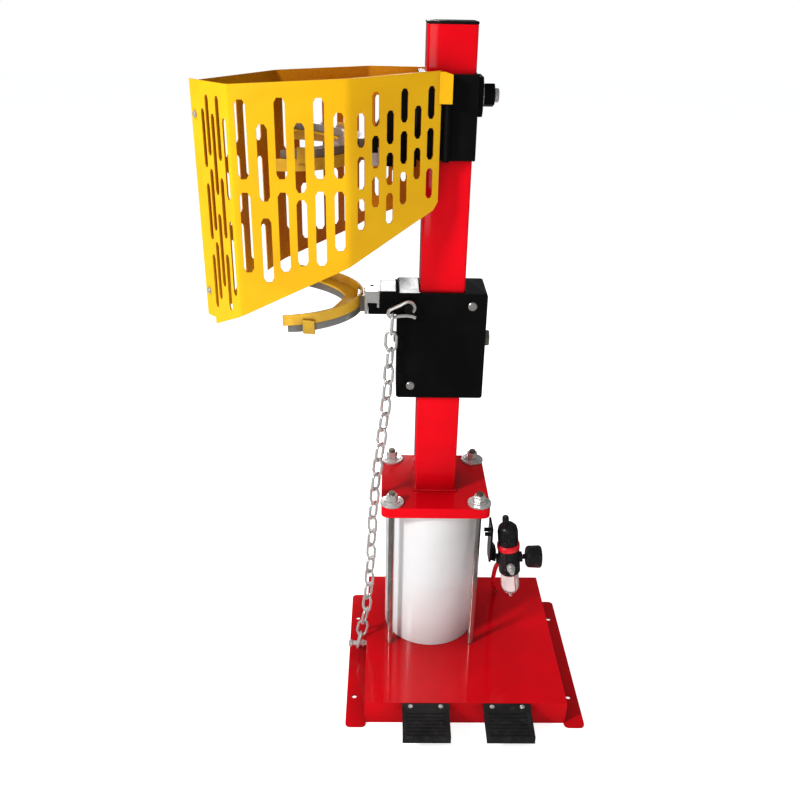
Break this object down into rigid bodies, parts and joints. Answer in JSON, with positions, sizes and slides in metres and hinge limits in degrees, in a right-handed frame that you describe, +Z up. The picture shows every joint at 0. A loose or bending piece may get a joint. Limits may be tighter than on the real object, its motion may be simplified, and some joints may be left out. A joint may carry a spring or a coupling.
{
  "type": "strut spring compressor",
  "caption": "Floor-standing pneumatic strut spring compressor: pedal base, air cylinder, square column, powered carriage, claws, slotted guard cage and limit chain.",
  "frame": {"origin": "on the floor, in the middle of the footprint; the column axis is at X 60.5 mm, Y 99 mm", "axes": "+Z up along the column, -Y towards the pedals, -X towards the claws"},
  "size_m": [0.712, 0.4697, 1.248],
  "materials": {
    "red_paint": "gloss",
    "black_paint": "satin",
    "black_plastic": "satin",
    "rubber": "matt",
    "yellow_paint": "gloss",
    "yellow_liner": "satin",
    "zinc": "zinc plated",
    "steel": "machined",
    "aluminium": "anodised",
    "red_plastic": "gloss",
    "bowl": "clear"
  },
  "bodies": {
    "base": {"air_hose": "red_plastic", "barrel": "aluminium", "base_tray": "red_paint", "bottom_plate": "steel", "chain_anchor": "zinc", "clamp_bolt": "zinc", "clamp_nut": "black_paint", "clamp_washer": "zinc", "column": "red_paint", "column_cap": "black_paint", "foot_valve": "aluminium", "frl_body": "black_plastic", "frl_bowl": "bowl", "frl_bracket": "black_paint", "frl_fitting": "zinc", "frl_gauge": "black_plastic", "frl_ring": "red_plastic", "guard_hinge": "black_paint", "guard_rear": "yellow_paint", "limit_chain": "zinc", "nut_bl": "zinc", "nut_br": "zinc", "nut_fl": "zinc", "nut_fr": "zinc", "pedal_shaft": "steel", "sleeve": "black_paint", "tie_rod_bl": "zinc", "tie_rod_br": "zinc", "tie_rod_fl": "zinc", "tie_rod_fr": "zinc", "top_plate": "red_paint", "upper_arm": "black_paint", "upper_bracket": "zinc", "upper_claw": "steel", "upper_liner": "yellow_liner", "washer_bl": "zinc", "washer_br": "zinc", "washer_fl": "zinc", "washer_fr": "zinc"},
    "carriage": {"carriage_body": "black_paint", "lower_arm": "black_paint", "lower_bracket": "zinc", "lower_claw": "steel", "lower_liner": "yellow_liner", "cross_pin": "steel", "rod_head": "steel", "roller_pin_upper": "steel", "roller_pin_lower": "steel", "hook_bolt": "zinc", "chain_hook": "zinc", "piston_rod": "steel", "piston": "aluminium"},
    "upper_roller": {"roller_upper": "steel"},
    "lower_roller": {"roller_lower": "steel"},
    "left_pedal": {"pedal_left": "rubber"},
    "right_pedal": {"pedal_right": "rubber"},
    "guard_door": {"guard_front": "yellow_paint", "latch_screw_upper": "zinc", "latch_screw_lower": "zinc"},
    "regulator_knob": {"frl_knob": "black_plastic"}
  },
  "joints": [
    {"name": "carriage_slide", "type": "slide", "parent": "base", "child": "carriage", "axis": [0, 0, 1], "range_m": [-0.15, 0], "deforming": ["limit_chain"]},
    {"name": "upper_roller_spin", "type": "hinge", "parent": "carriage", "child": "upper_roller", "pos_m": [0.1145, 0.099, 0.784], "axis": [0, 1, 0], "range_deg": [-640, 640]},
    {"name": "lower_roller_spin", "type": "hinge", "parent": "carriage", "child": "lower_roller", "pos_m": [0.0065, 0.099, 0.628], "axis": [0, 1, 0], "range_deg": [-640, 640]},
    {"name": "left_pedal_press", "type": "hinge", "parent": "base", "child": "left_pedal", "pos_m": [0.0445, -0.116, 0.028], "axis": [1, 0, 0], "range_deg": [0, 8], "stiffness_Nm_per_rad": 30, "springref_deg": -5.73},
    {"name": "right_pedal_press", "type": "hinge", "parent": "base", "child": "right_pedal", "pos_m": [0.2015, -0.116, 0.028], "axis": [1, 0, 0], "range_deg": [0, 8], "stiffness_Nm_per_rad": 30, "springref_deg": -5.73},
    {"name": "guard_door_swing", "type": "hinge", "parent": "base", "child": "guard_door", "pos_m": [0.055, 0.0405, 0], "axis": [0, 0, 1], "range_deg": [0, 90]},
    {"name": "regulator_turn", "type": "hinge", "parent": "base", "child": "regulator_knob", "pos_m": [0.212, 0.009, 0.262], "axis": [-0.1097, 0, 0.994], "range_deg": [-270, 270]}
  ],
  "couplings": [
    {"joint": "upper_roller_spin", "follows": "carriage_slide", "rad_per_m": 72.464},
    {"joint": "lower_roller_spin", "follows": "carriage_slide", "rad_per_m": -72.464}
  ]
}
